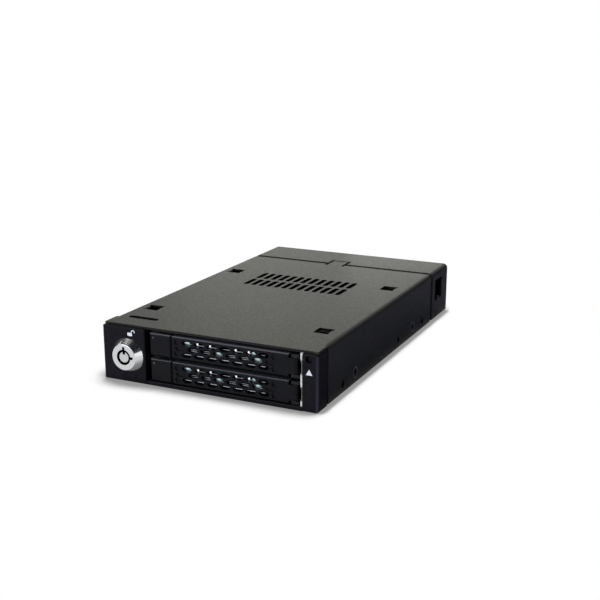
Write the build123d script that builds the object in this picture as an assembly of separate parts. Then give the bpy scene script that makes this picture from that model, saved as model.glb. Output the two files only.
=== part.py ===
from build123d import *
from math import radians, sin
import os

# Two-bay hot swap cage for 2.5 inch drives, made for a 3.5 inch external bay. Sizes in millimetres.
# X runs to the right seen from the front, Y from the front to the rear and Z up. The origin lies below
# the middle of the cage, at the height of the bezel's lower edge. Every y in this file is a depth,
# counted from the bezel's front plane towards the rear.

# Drives that the cage takes
BAYS = 2
DRIVE_W = 69.85
DRIVE_L = 100.2
DRIVE_H = 9.5
DRIVE_SIDE_GAP = 0.075
DRIVE_FRONT = 14.5
DRIVE_HOLES_ACROSS = 61.72
DRIVE_HOLES_ALONG = 76.6
DRIVE_HOLE_SETBACK = 14.0
DRIVE_HOLE_R = 1.6

# Clearances
RUN_GAP = 0.3
PIN_GAP = 0.05
SEAT_GAP = 0.05

# Sheet metal
SHEET = 1.0
BEND_R = 2.2
FOOT_GAP = 0.8
FLANGE_H = 9.2
COVER_HEADROOM = 0.7
COVER_GAP = 0.15
COVER_LIP_INSET = 0.6
COVER_LIP_SETBACK = 1.2
SEAM = 2.4
SEAM_ROUND = 0.8
SEAM_SETBACK = 16.4
SEAM_RELIEF_R = 1.5
SEAM_RELIEF_INSET = 3.6
REAR_LENGTH = 25.5
REAR_EDGE_R = 0.9

# Bezel
BEZEL_DEPTH = 8.8
BEZEL_REAR_GAP = 1.1
BEZEL_WALL = 2.4
BEZEL_SIDE = 1.6
BEZEL_LIP = 1.8
BEZEL_EDGE_R = 1.5
BEZEL_CORNER_R = 0.6
LOCK_BLOCK_W = 21.1
STRIP_W = 6.95
ARM_T = 2.5
ARM_H = 7.6
ARM_PAST_SCREW = 5.0

# Light guide and its board
LIGHT_W = 1.0
LIGHT_GAP = 0.8
LIGHT_SETBACK = 0.6
LIGHT_END = 10.8
LIGHT_SCALLOP = 0.5
LED_SIZE = (1.4, 1.1, 2.0)
LED_HEIGHTS = (4.4, 9.0, 15.6, 20.4)
INDICATOR_BOARD_T = 1.2

# Push button in the strip
BUTTON_R = 1.4
BUTTON_BORE_GAP = 0.1
BUTTON_SETBACK = 1.0
BUTTON_INSET = 2.95
BUTTON_DROP = 2.05
BUTTON_TRAVEL = 0.7
BUTTON_FLANGE_R = 2.0
BUTTON_FLANGE_T = 0.6
SWITCH_W = 3.6
SWITCH_T = 1.3

# Trays
RAIL = 0.7
RAIL_H = 9.8
TRAY_FLOOR = 0.8
TRAY_HEADROOM = 1.0
TRAY_TAIL_GAP = 1.2
TRAY_WINDOW_SIDE = 9.0
TRAY_WINDOW_END = 8.0
TRAY_WINDOW_RIB = 6.0
HEADER_Y = (4.6, 5.8)
HEADER_RIM = 1.4
POCKET_WALL = 1.0

# Tray doors, latch buttons and their hinges
FRONT_SETBACK = 0.3
FRONT_RISE = 0.2
FRONT_H = 9.6
FRONT_CHAMFER = 0.45
GROOVE_W = 2.2
LATCH_W = 10.0
LATCH_PLATE_T = 1.7
LATCH_STEM_INSET = 1.2
LATCH_STEM_Y = 6.6
LATCH_TRAVEL = 1.6
LATCH_DOT_R = 0.6
LATCH_DOT_INSET = 1.8
SPRING_T = 0.3
SPRING_H = 5.0
SPRING_SPAN = 6.6
SPRING_REST_GAP = 0.1
SPRING_PRESSED = 1.4
DOOR_SPLIT = 0.8
DOOR_T = 3.0
DOOR_SKIN = 1.2
DOOR_RIM = 1.0
HINGE_INSET = 2.1
HINGE_Y = 2.2
HINGE_PIN_R = 0.8
HINGE_PIN_SHY = 0.1
KNUCKLE_R = 1.9
EAR_T = 1.3
EAR_FRONT = 0.9
EAR_REACH = 1.3
DOOR_NOTCH = 2.2

# Grille in the doors: three staggered rows of long hexagons. The end ones are only sunk in, and those of
# the outer rows are short.
HEX_PITCH = 6.0
HEX_ROW_PITCH = 2.5
HEX_W = 5.2
HEX_H = 2.2
HEX_POINT = 1.2
HEX_COLUMNS = 7
HEX_FIRST = 7.05
HEX_END_W = 2.5
HEX_BLIND_DEPTH = 0.5

# Tray guides
GUIDE_WALL = 1.5
GUIDE_FOOT_W = 2.2
GUIDE_FOOT_T = 1.2
GUIDE_PAST_BOARD = 2.0
GUIDE_GROOVE = 0.9
LEDGE_W = 1.3
LEDGE_T = 0.55
GUIDE_RIB = 9.0
LEFT_GUIDE_FRONT = 25.0

# Lock
LOCK_PROUD = 3.0
LOCK_INSET = 12.2
LOCK_Z = 11.8
LOCK_BASE_R = 7.8
LOCK_FACE_R = 5.7
LOCK_RIM = 0.4
BARREL_R = 4.8
BARREL_END = 13.0
KEYWAY_R = 3.4
KEYWAY_END = 3.5
POST_R = 2.3
POST_SHY = 0.3
KEY_NOTCH_W = 1.2
KEY_NOTCH_R = 4.6
KEY_NOTCH_DEPTH = 2.0
POST_NOTCH_DEPTH = 1.1
CORE_END = 14.5
NUT_FLATS = 12.0
NUT_T = 3.0
CAM_R = 4.2
CAM_T = 1.5
CAM_TURN = 90.0
CAM_PIN_R = 1.1
CAM_SLOT_GAP = 0.15
LOCK_THROW = 3.5
SLIDE_T = 1.6
SLIDE_W = 12.4
SLIDE_TOP = 21.5
FINGER_W = 2.4
FINGER_H = 2.8
TONGUE_T = 2.0
TONGUE_SETBACK = 0.6
TONGUE_REST_GAP = 0.5
LOCK_WINDOW_GAP = 0.4
BRACKET_T = 1.2
BRACKET_FOOT = 4.6
BRACKET_TOP = 21.5

# Side holes: the outer two mounting holes come to 101.6 apart, the span usual on 3.5 inch devices
MOUNT_FIRST = 25.0
MOUNT_MIDDLE = 67.0
MOUNT_PAST_SCREW = 14.6
MOUNT_Z = 4.6
MOUNT_R = 1.25
MOUNT_CLEAR_R = 1.6
COLLAR_R = 2.4
COLLAR_L = 1.5
COLLAR_GAP = 0.2
SCREW_FRONT = 38.5
SCREW_REAR_SETBACK = 2.7
SCREW_Z = 5.4
SCREW_R = 1.4
SCREW_HEAD_R = 2.7
SCREW_L = 4.2
SCREW_SOCKET_R = 1.0
SCREW_SOCKET_DEPTH = 0.7

# Openings in the top of the cover
VENT_COLUMNS = 13
VENT_PITCH = 4.05
VENT_MID_X = -1.6
VENT_ROWS = (88.6, 101.6)
VENT_L = 11.2
VENT_W = 2.6
WINDOW_W = 7.0
WINDOW_L = 7.2
WINDOW_ROWS = (24.4, 101.0)
WINDOW_LEFT_INSET = 4.5
WINDOW_RIGHT_INSET = 6.5
TAB_DROP = 2.4
TAB_L = 4.4
TAB_BEND_SHARE = 0.9
TAB_RELIEF = 0.8
SLOT_INSET = 13.1
SLOT_Y = 12.0
SLOT_L = 14.8
SLOT_W = 3.1
TONGUE_X = (-5.85, 2.05)
TONGUE_L = 7.4
TONGUE_GAP = 1.4
TONGUE_RELIEF = 2.3

# Side windows of the rear cover
SIDE_WINDOW_START = 4.8
SIDE_WINDOW_L = 11.0
SIDE_WINDOW_Z = (9.9, 20.8)
SIDE_BUMP_W = 3.6
SIDE_BUMP_H = 1.8
SIDE_BUMP_ROUND_SHARE = 0.7

# Boards and connectors
BOARD = 1.6
BACKPLANE_LIFT = 0.5
BACKPLANE_VENT = (8.0, 5.0)
CONNECTOR_GAP = 0.2
CONNECTOR_L = 6.2
CONNECTOR_W = 42.0
CONNECTOR_H = 5.2
CONNECTOR_OFFSET = -9.0
CONNECTOR_RISE = 1.2
CONNECTOR_WALL = 1.2
CONNECTOR_SLOT_DEPTH = 4.2
CONTROLLER_SIDE_GAP = 6.8
CONTROLLER_FRONT_GAP = 2.3
CONTROLLER_REAR_GAP = 1.5
STANDOFF_H = 4.0
STANDOFF_R = 2.4
STANDOFF_INSET = 4.0
BOARD_SCREW_R = 1.2
BOARD_SCREW_HEAD_R = 2.2
BOARD_SCREW_HEAD_T = 1.3
CHIP_W = 14.0
CHIP_T = 1.4
LINK_W = 36.0
LINK_L = 6.8
LINK_H = 6.0
PORT_L = 14.0
PORT_WALL = 1.1
PORT_DEPTH = 8.0
PORT_TONGUE_T = 1.2
PORT_CUT_GAP = 0.2
DATA_PORT_W = 14.5
DATA_PORT_H = 7.0
DATA_PORT_INSET = 13.5
POWER_PORT_W = 29.0
POWER_PORT_H = 6.4
POWER_PORT_INSET = 8.0
PORT_TONGUE_INSET = 2.0

# Worked out from the sizes above
TRAY_W = DRIVE_W + 2 * (DRIVE_SIDE_GAP + RAIL)
BAY_WIDTH = LOCK_BLOCK_W + RUN_GAP + TRAY_W + LIGHT_GAP + LIGHT_W + SEAT_GAP + STRIP_W
HALF_W = BAY_WIDTH / 2
BASE_TOP = FOOT_GAP + SHEET
BAY_PITCH = TRAY_FLOOR + DRIVE_H + TRAY_HEADROOM
COVER_Z = BASE_TOP + RUN_GAP + BAYS * BAY_PITCH - TRAY_HEADROOM + COVER_HEADROOM
BAY_HEIGHT = COVER_Z + SHEET
BEZEL_TOP = COVER_Z - COVER_GAP
WALL_X = HALF_W - SHEET
FLANGE_X = WALL_X - SHEET
FLANGE_TOP = FOOT_GAP + FLANGE_H
COVER_FRONT = BEZEL_DEPTH + BEZEL_REAR_GAP
DRIVE_REAR = DRIVE_FRONT + DRIVE_L
BACKPLANE_Y = (DRIVE_REAR + CONNECTOR_GAP + CONNECTOR_L, DRIVE_REAR + CONNECTOR_GAP + CONNECTOR_L + BOARD)
SEAM_Y = BACKPLANE_Y[1] + SEAM_SETBACK
BODY_DEPTH = SEAM_Y + SEAM + REAR_LENGTH
SEAM_END_Y = SEAM_Y + SEAM
REAR_WALL_Y = (BODY_DEPTH - SHEET, BODY_DEPTH)
FRONT_Y = -(BODY_DEPTH - LOCK_PROUD) / 2

LOCK_FACE_X = -HALF_W + LOCK_BLOCK_W
TRAY_X = (LOCK_FACE_X + RUN_GAP, LOCK_FACE_X + RUN_GAP + TRAY_W)
TRAY_MID_X = sum(TRAY_X) / 2
TRAY_REAR = DRIVE_REAR - TRAY_TAIL_GAP
TRAY_LOWS = [BASE_TOP + RUN_GAP + bay * BAY_PITCH for bay in range(BAYS)]
TRAY_NAMES = ("lower", "upper")
LIGHT_X = (TRAY_X[1] + LIGHT_GAP, TRAY_X[1] + LIGHT_GAP + LIGHT_W)
STRIP_X = LIGHT_X[1] + SEAT_GAP
LATCH_X = (TRAY_X[0] + GROOVE_W, TRAY_X[0] + GROOVE_W + LATCH_W)
DOOR_X = LATCH_X[1] + DOOR_SPLIT
DOOR_Y = (FRONT_SETBACK, FRONT_SETBACK + DOOR_T)
HINGE_X = TRAY_X[1] - HINGE_INSET
LED_Y = (LIGHT_END + SEAT_GAP, LIGHT_END + SEAT_GAP + LED_SIZE[1])
INDICATOR_Y = (LED_Y[1], LED_Y[1] + INDICATOR_BOARD_T)
BUTTON_X = STRIP_X + BUTTON_INSET
BUTTON_Z = BEZEL_TOP - BUTTON_DROP
SWITCH_Y = (INDICATOR_Y[0] - SWITCH_T, INDICATOR_Y[0])
BUTTON_END = SWITCH_Y[0] - RUN_GAP - BUTTON_TRAVEL
ARM_X = FLANGE_X - ARM_T
ARM_Z = (BASE_TOP + RUN_GAP, BASE_TOP + RUN_GAP + ARM_H)
ARM_END = SCREW_FRONT + ARM_PAST_SCREW
LOCK_X = -HALF_W + LOCK_INSET
CAM_Y = (CORE_END, CORE_END + CAM_T)
CAM_ARM = LOCK_THROW / (2 * sin(radians(CAM_TURN / 2)))
SLIDE_Y = (CAM_Y[1] + RUN_GAP, CAM_Y[1] + RUN_GAP + SLIDE_T)
BRACKET_Y = (SLIDE_Y[1] + RUN_GAP, SLIDE_Y[1] + RUN_GAP + BRACKET_T)
POCKET_FACE_Y = LATCH_STEM_Y + LATCH_TRAVEL + SPRING_PRESSED
POCKET_BACK_Y = (POCKET_FACE_Y, POCKET_FACE_Y + POCKET_WALL)
TONGUE_Y = (POCKET_BACK_Y[1] + TONGUE_SETBACK, POCKET_BACK_Y[1] + TONGUE_SETBACK + TONGUE_T)
TONGUE_END_X = TRAY_X[0] - TONGUE_REST_GAP
FINGER_X = (TONGUE_END_X - LOCK_THROW - FINGER_W, TONGUE_END_X - LOCK_THROW)
SLIDE_X = (FINGER_X[1] - SLIDE_W, FINGER_X[1])
FINGER_OFFSET = BARREL_R + FINGER_H / 2
FINGER_ZS = (LOCK_Z - FINGER_OFFSET, LOCK_Z + FINGER_OFFSET)
SCREW_REAR = DRIVE_REAR - SCREW_REAR_SETBACK
SCREW_DEPTHS = (SCREW_FRONT, SCREW_REAR)
MOUNT_DEPTHS = (MOUNT_FIRST, MOUNT_FIRST + MOUNT_MIDDLE, SCREW_REAR + MOUNT_PAST_SCREW)
GUIDE_TOP = BAY_HEIGHT - TAB_DROP - SEAT_GAP
CONTROLLER_HALF_W = FLANGE_X - CONTROLLER_SIDE_GAP
CONTROLLER_Y = (BACKPLANE_Y[1] + CONTROLLER_FRONT_GAP, REAR_WALL_Y[0] - CONTROLLER_REAR_GAP)
CONTROLLER_Z = (BASE_TOP + STANDOFF_H, BASE_TOP + STANDOFF_H + BOARD)
DATA_PORT_X = (CONTROLLER_HALF_W - DATA_PORT_INSET - DATA_PORT_W, CONTROLLER_HALF_W - DATA_PORT_INSET)
POWER_PORT_X = (-CONTROLLER_HALF_W + POWER_PORT_INSET, -CONTROLLER_HALF_W + POWER_PORT_INSET + POWER_PORT_W)
STANDOFFS = [(x, y) for x in (-CONTROLLER_HALF_W + STANDOFF_INSET, CONTROLLER_HALF_W - STANDOFF_INSET)
             for y in (CONTROLLER_Y[0] + STANDOFF_INSET, CONTROLLER_Y[1] - STANDOFF_INSET)]
FROM_BASE = (Align.CENTER, Align.CENTER, Align.MIN)


def block(x, y, z):
    """Box between a low and a high value along X, in depth and along Z."""
    middle = (sum(x) / 2, FRONT_Y + sum(y) / 2, sum(z) / 2)
    return Pos(*middle) * Box(x[1] - x[0], y[1] - y[0], z[1] - z[0])


def facing(x, y, z, direction):
    """Plane at a point, with its normal along a direction."""
    return Plane(origin=(x, FRONT_Y + y, z), z_dir=direction)


def rod_x(radius, x, y, z):
    """Cylinder along X between two values of x."""
    return facing(x[0], y, z, (1, 0, 0)) * Cylinder(radius, x[1] - x[0], align=FROM_BASE)


def rod_y(radius, x, y, z):
    """Cylinder along Y between two depths."""
    return facing(x, y[0], z, (0, 1, 0)) * Cylinder(radius, y[1] - y[0], align=FROM_BASE)


def rod_z(radius, x, y, z):
    """Cylinder along Z between two heights."""
    return facing(x, y, z[0], (0, 0, 1)) * Cylinder(radius, z[1] - z[0], align=FROM_BASE)


def edges_at(part, axis, along, end):
    """Edges parallel to one axis that lie at the low (0) or high (-1) end along another."""
    return part.edges().filter_by(axis).group_by(along)[end]


def channel(y):
    """Upside-down sheet-metal channel with rounded bends, between two depths."""
    outer = block((-HALF_W, HALF_W), y, (FOOT_GAP, BAY_HEIGHT))
    outer = fillet(edges_at(outer, Axis.Y, Axis.Z, -1), BEND_R)
    inner = block((-WALL_X, WALL_X), y, (FOOT_GAP, COVER_Z))
    inner = fillet(edges_at(inner, Axis.Y, Axis.Z, -1), BEND_R - SHEET)
    return outer - inner


def top_slot(x, y, length, width, turn):
    """Cutter for a slot with round ends through the top sheet."""
    outline = Pos(x, FRONT_Y + y, COVER_Z) * Rot(0, 0, turn) * SlotOverall(length, width)
    return extrude(outline, SHEET)


def screw_cone(side, y):
    """Countersunk head of a side screw, flush with the outer face of the wall."""
    seat = facing(side * HALF_W, y, SCREW_Z, (-side, 0, 0))
    return seat * Cone(SCREW_HEAD_R, SCREW_HEAD_R - SHEET, SHEET, align=FROM_BASE)


def seam_reliefs():
    """Cutters for the round reliefs at both ends of the seam."""
    reach = HALF_W - SEAM_RELIEF_INSET
    return [rod_z(SEAM_RELIEF_R, x, SEAM_Y + SEAM / 2, (COVER_Z, BAY_HEIGHT)) for x in (-reach, reach)]


def top_cover():
    """Folded cover with its vents, lanced windows, front slot, rear tongue and side holes."""
    lip_x = HALF_W - COVER_LIP_INSET
    lip = block((-lip_x, lip_x), (COVER_LIP_SETBACK, COVER_FRONT), (COVER_Z, BAY_HEIGHT))
    cover = channel((COVER_FRONT, SEAM_Y)) + lip
    cover += block(TONGUE_X, (SEAM_Y, SEAM_Y + TONGUE_L), (COVER_Z, BAY_HEIGHT))
    cuts = seam_reliefs()
    first_x = VENT_MID_X - VENT_PITCH * (VENT_COLUMNS - 1) / 2
    for row in VENT_ROWS:
        for column in range(VENT_COLUMNS):
            cuts.append(top_slot(first_x + column * VENT_PITCH, row, VENT_L, VENT_W, 90))
    cuts.append(top_slot(-HALF_W + SLOT_INSET, SLOT_Y, SLOT_L, SLOT_W, 0))
    for edge in TONGUE_X:
        relief = (edge - TONGUE_GAP, edge) if edge == TONGUE_X[0] else (edge, edge + TONGUE_GAP)
        cuts.append(block(relief, (SEAM_Y - TONGUE_RELIEF, SEAM_Y), (COVER_Z, BAY_HEIGHT)))
    tabs = []
    for row in WINDOW_ROWS:
        span = (row, row + WINDOW_L)
        for outer_x, inward in ((-HALF_W + WINDOW_LEFT_INSET, 1), (HALF_W - WINDOW_RIGHT_INSET, -1)):
            across = sorted((outer_x, outer_x + inward * WINDOW_W))
            cuts.append(block(across, span, (COVER_Z, BAY_HEIGHT)))
            tab_x = sorted((outer_x, outer_x + inward * SHEET))
            tab_y = (row + TAB_RELIEF, row + TAB_RELIEF + TAB_L)
            tab = block(tab_x, tab_y, (BAY_HEIGHT - TAB_DROP, BAY_HEIGHT))
            bend = edges_at(tab, Axis.Y, Axis.Z, -1).sort_by(Axis.X)[-1 if inward > 0 else 0]
            tabs.append(fillet(bend, SHEET * TAB_BEND_SHARE))
    for side in (-1, 1):
        wall = sorted((side * WALL_X, side * HALF_W))
        for y in MOUNT_DEPTHS:
            cuts.append(rod_x(MOUNT_CLEAR_R, wall, y, MOUNT_Z))
        for y in SCREW_DEPTHS:
            cuts.append(screw_cone(side, y))
    cover -= cuts
    return cover + tabs


def rear_cover():
    """Folded rear housing with a notch for the cover's tongue, side windows and port cut-outs."""
    housing = channel((SEAM_END_Y, BODY_DEPTH)) + block((-WALL_X, WALL_X), REAR_WALL_Y, (FOOT_GAP, COVER_Z))
    rear_rim = housing.faces().sort_by(Axis.Y)[-1].outer_wire().edges().sort_by(Axis.Z)[1:]
    housing = fillet(rear_rim, REAR_EDGE_R)
    front_top = edges_at(housing, Axis.X, Axis.Y, 0).sort_by(Axis.Z)[-1]
    housing = fillet(front_top, SEAM_ROUND)
    notch_x = (TONGUE_X[0] - TONGUE_GAP, TONGUE_X[1] + TONGUE_GAP)
    housing -= block(notch_x, (SEAM_END_Y, SEAM_Y + TONGUE_L + TONGUE_GAP), (COVER_Z, BAY_HEIGHT))
    housing -= seam_reliefs()
    window_y = (SEAM_END_Y + SIDE_WINDOW_START, SEAM_END_Y + SIDE_WINDOW_START + SIDE_WINDOW_L)
    bump_y = (sum(window_y) / 2 - SIDE_BUMP_W / 2, sum(window_y) / 2 + SIDE_BUMP_W / 2)
    for side in (-1, 1):
        wall = sorted((side * WALL_X, side * HALF_W))
        housing -= block(wall, window_y, SIDE_WINDOW_Z)
        bump = block(wall, bump_y, (SIDE_WINDOW_Z[0], SIDE_WINDOW_Z[0] + SIDE_BUMP_H))
        housing += fillet(edges_at(bump, Axis.X, Axis.Z, -1), SIDE_BUMP_H * SIDE_BUMP_ROUND_SHARE)
    for port_x, height in ((DATA_PORT_X, DATA_PORT_H), (POWER_PORT_X, POWER_PORT_H)):
        across = (port_x[0] - PORT_CUT_GAP, port_x[1] + PORT_CUT_GAP)
        housing -= block(across, REAR_WALL_Y, (CONTROLLER_Z[1], CONTROLLER_Z[1] + height + PORT_CUT_GAP))
    return housing


def base_plate():
    """Floor with two upright flanges, whose collars carry the threads of the mounting holes."""
    span = (COVER_FRONT, REAR_WALL_Y[0])
    outer = block((-WALL_X, WALL_X), span, (FOOT_GAP, FLANGE_TOP))
    plate = outer - block((-FLANGE_X, FLANGE_X), span, (BASE_TOP, FLANGE_TOP))
    for side in (-1, 1):
        through = sorted((side * WALL_X, side * (FLANGE_X - COLLAR_L)))
        collar = sorted((side * FLANGE_X, side * (FLANGE_X - COLLAR_L)))
        for y in MOUNT_DEPTHS:
            plate += rod_x(COLLAR_R, collar, y, MOUNT_Z)
            plate -= rod_x(MOUNT_R, through, y, MOUNT_Z)
        for y in SCREW_DEPTHS:
            plate -= rod_x(SCREW_R, sorted((side * WALL_X, side * FLANGE_X)), y, SCREW_Z)
    for x, y in STANDOFFS:
        plate -= rod_z(BOARD_SCREW_R, x, y, (FOOT_GAP, BASE_TOP))
    for x in bracket_screw_xs():
        plate -= rod_z(BOARD_SCREW_R, x, bracket_screw_y(), (FOOT_GAP, BASE_TOP))
    return plate


def bezel_arm(side):
    """Arm from the bezel's front wall to the front side screw, cut free of the mounting collar."""
    arm = block(sorted((side * ARM_X, side * FLANGE_X)), (BEZEL_WALL, ARM_END), ARM_Z)
    arm -= rod_x(SCREW_R, sorted((side * (WALL_X - SCREW_L), side * FLANGE_X)), SCREW_FRONT, SCREW_Z)
    clear = sorted((side * ARM_X, side * FLANGE_X))
    return arm - rod_x(COLLAR_R + COLLAR_GAP, clear, MOUNT_FIRST, MOUNT_Z)


def front_bezel():
    """Moulded front: hollow lock block, lip below the trays and the strip with the push button."""
    lock_block = block((-HALF_W, LOCK_FACE_X), (0, BEZEL_DEPTH), (0, BEZEL_TOP))
    lock_block = fillet(edges_at(lock_block, Axis.Y, Axis.X, 0), BEZEL_CORNER_R)
    lock_block = chamfer(lock_block.faces().sort_by(Axis.Y)[0].edges(), BEZEL_CORNER_R / 2)
    hollow = block((-HALF_W + BEZEL_SIDE, LOCK_FACE_X - BEZEL_SIDE), (BEZEL_WALL, BEZEL_DEPTH),
                   (BEZEL_SIDE, BEZEL_TOP - BEZEL_SIDE))
    strip = block((STRIP_X, HALF_W), (0, BEZEL_DEPTH), (0, BEZEL_TOP))
    strip = fillet(edges_at(strip, Axis.Z, Axis.Y, 0).sort_by(Axis.X)[-1], BEZEL_EDGE_R)
    strip = chamfer(edges_at(strip, Axis.X, Axis.Y, 0), BEZEL_CORNER_R)
    lip = block((LOCK_FACE_X, STRIP_X), (0, BEZEL_DEPTH), (0, BEZEL_LIP))
    lip = chamfer(edges_at(lip, Axis.X, Axis.Y, 0), BEZEL_CORNER_R / 2)
    bezel = lock_block - hollow + lip + strip + bezel_arm(-1) + bezel_arm(1)
    bezel -= rod_y(BARREL_R + SEAT_GAP, LOCK_X, (0, BEZEL_WALL), LOCK_Z)
    return bezel - rod_y(BUTTON_R + BUTTON_BORE_GAP, BUTTON_X, (0, BEZEL_DEPTH), BUTTON_Z)


def light_guide():
    """Clear strip beside the trays, hollowed towards each door's hinge."""
    guide = block(LIGHT_X, (LIGHT_SETBACK, LIGHT_END), (BEZEL_LIP, BEZEL_TOP))
    for low in TRAY_LOWS:
        middle = low + FRONT_RISE + FRONT_H / 2
        half = FRONT_H / 2 - EAR_T
        radius = (half * half + LIGHT_SCALLOP * LIGHT_SCALLOP) / (2 * LIGHT_SCALLOP)
        guide -= rod_y(radius, LIGHT_X[0] + LIGHT_SCALLOP - radius, (LIGHT_SETBACK, LIGHT_END), middle)
    return guide


def indicator_board():
    """Small upright board behind the strip, stepped to clear the bezel's arm."""
    upper = block((LIGHT_X[0], FLANGE_X - RUN_GAP), INDICATOR_Y, (ARM_Z[1] + RUN_GAP, BEZEL_TOP))
    return upper + block((LIGHT_X[0], ARM_X - RUN_GAP), INDICATOR_Y, (ARM_Z[0], ARM_Z[1] + RUN_GAP))


def indicator_leds():
    """Lamps on the board, one behind each lit stretch of the light guide."""
    middle = sum(LIGHT_X) / 2
    across = (middle - LED_SIZE[0] / 2, middle + LED_SIZE[0] / 2)
    return [block(across, LED_Y, (z - LED_SIZE[2] / 2, z + LED_SIZE[2] / 2)) for z in LED_HEIGHTS]


def tact_switch():
    """Switch on the board behind the push button."""
    half = SWITCH_W / 2
    body = block((BUTTON_X - half, BUTTON_X + half), (SWITCH_Y[0] + SWITCH_T / 2, SWITCH_Y[1]),
                 (BUTTON_Z - half, BUTTON_Z + half))
    return body + rod_y(BUTTON_R, BUTTON_X, SWITCH_Y, BUTTON_Z)


def push_button():
    """Pin in the strip, set back from its face, with a flange behind the bezel."""
    pin = rod_y(BUTTON_R, BUTTON_X, (BUTTON_SETBACK, BUTTON_END), BUTTON_Z)
    pin = fillet(pin.edges().sort_by(Axis.Y)[0], BUTTON_R / 4)
    return pin + rod_y(BUTTON_FLANGE_R, BUTTON_X, (BUTTON_END - BUTTON_FLANGE_T, BUTTON_END), BUTTON_Z)


def guide(side, face_x, front):
    """Runner beside the trays: wall, foot, ledges under the upper trays, screw rib and board groove."""
    end = BACKPLANE_Y[1] + GUIDE_PAST_BOARD
    wall_x = sorted((face_x, face_x + side * GUIDE_WALL))
    foot_x = sorted((face_x + side * GUIDE_WALL, face_x + side * (GUIDE_WALL + GUIDE_FOOT_W)))
    rib_x = sorted((face_x + side * GUIDE_WALL, side * FLANGE_X))
    rib_y = (SCREW_REAR - GUIDE_RIB / 2, SCREW_REAR + GUIDE_RIB / 2)
    runner = block(wall_x, (front, end), (BASE_TOP, GUIDE_TOP))
    runner += block(foot_x, (front, end), (BASE_TOP, BASE_TOP + GUIDE_FOOT_T))
    runner += block(rib_x, rib_y, (BASE_TOP, FLANGE_TOP))
    for low in TRAY_LOWS[1:]:
        ledge_z = (low - RUN_GAP - LEDGE_T, low - RUN_GAP)
        runner += block(sorted((face_x, face_x - side * LEDGE_W)), (front, DRIVE_REAR), ledge_z)
    runner -= rod_x(SCREW_R, sorted((side * (WALL_X - SCREW_L), side * FLANGE_X)), SCREW_REAR, SCREW_Z)
    groove_x = sorted((face_x, face_x + side * GUIDE_GROOVE))
    return runner - block(groove_x, BACKPLANE_Y, (BASE_TOP + BACKPLANE_LIFT, GUIDE_TOP))


def side_screws():
    """Countersunk screws through the cover's walls: the front pair holds the bezel, the rear the guides."""
    screws = []
    for side in (-1, 1):
        for y in SCREW_DEPTHS:
            seat = facing(side * HALF_W, y, SCREW_Z, (-side, 0, 0))
            shank = rod_x(SCREW_R, sorted((side * WALL_X, side * (WALL_X - SCREW_L))), y, SCREW_Z)
            socket = seat * extrude(RegularPolygon(SCREW_SOCKET_R, 6), SCREW_SOCKET_DEPTH)
            screws.append(screw_cone(side, y) + shank - socket)
    return screws


def backplane_board():
    """Upright board that the drives plug into, held in the guides' grooves, with air windows."""
    across = (TRAY_X[0] - RUN_GAP - GUIDE_GROOVE, TRAY_X[1] + RUN_GAP + GUIDE_GROOVE)
    heights = (BASE_TOP + BACKPLANE_LIFT, GUIDE_TOP)
    board = block(across, BACKPLANE_Y, heights)
    half_w, half_h = BACKPLANE_VENT[0] / 2, BACKPLANE_VENT[1] / 2
    first_x = TRAY_MID_X + CONNECTOR_OFFSET + CONNECTOR_W / 2 + BACKPLANE_VENT[0]
    for low in TRAY_LOWS:
        z = low + TRAY_FLOOR + DRIVE_H / 2
        for x in (first_x, TRAY_X[0] + BACKPLANE_VENT[0]):
            board -= block((x - half_w, x + half_w), BACKPLANE_Y, (z - half_h, z + half_h))
    return board


def drive_connector(low):
    """Socket on the backplane for one drive."""
    middle = TRAY_MID_X + CONNECTOR_OFFSET
    base = low + TRAY_FLOOR + CONNECTOR_RISE
    span = (BACKPLANE_Y[0] - CONNECTOR_L, BACKPLANE_Y[0])
    body = block((middle - CONNECTOR_W / 2, middle + CONNECTOR_W / 2), span, (base, base + CONNECTOR_H))
    half = CONNECTOR_W / 2 - CONNECTOR_WALL
    slot_z = (base + CONNECTOR_WALL, base + CONNECTOR_H - CONNECTOR_WALL)
    return body - block((middle - half, middle + half), (span[0], span[0] + CONNECTOR_SLOT_DEPTH), slot_z)


def controller_board():
    """Level board in the rear housing, on standoffs."""
    board = block((-CONTROLLER_HALF_W, CONTROLLER_HALF_W), CONTROLLER_Y, CONTROLLER_Z)
    for x, y in STANDOFFS:
        board -= rod_z(BOARD_SCREW_R, x, y, CONTROLLER_Z)
    return board


def controller_chip():
    """Chip in the middle of the level board."""
    half = CHIP_W / 2
    y = sum(CONTROLLER_Y) / 2
    return block((-half, half), (y - half, y + half), (CONTROLLER_Z[1], CONTROLLER_Z[1] + CHIP_T))


def link_connector():
    """Connector between the two boards."""
    return block((-LINK_W / 2, LINK_W / 2), (BACKPLANE_Y[1], BACKPLANE_Y[1] + LINK_L),
                 (CONTROLLER_Z[1], CONTROLLER_Z[1] + LINK_H))


def board_standoffs():
    """Posts under the level board."""
    posts = []
    for x, y in STANDOFFS:
        post = rod_z(STANDOFF_R, x, y, (BASE_TOP, CONTROLLER_Z[0]))
        posts.append(post - rod_z(BOARD_SCREW_R, x, y, (BASE_TOP, CONTROLLER_Z[0])))
    return posts


def pan_screw(x, y, seat_z):
    """Pan-head screw from a seat down through the floor."""
    head = rod_z(BOARD_SCREW_HEAD_R, x, y, (seat_z, seat_z + BOARD_SCREW_HEAD_T))
    head = fillet(head.edges().sort_by(Axis.Z)[-1], BOARD_SCREW_HEAD_T / 2)
    return head + rod_z(BOARD_SCREW_R, x, y, (FOOT_GAP, seat_z))


def board_screws():
    """Screws through the level board and its standoffs into the floor."""
    return [pan_screw(x, y, CONTROLLER_Z[1]) for x, y in STANDOFFS]


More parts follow.
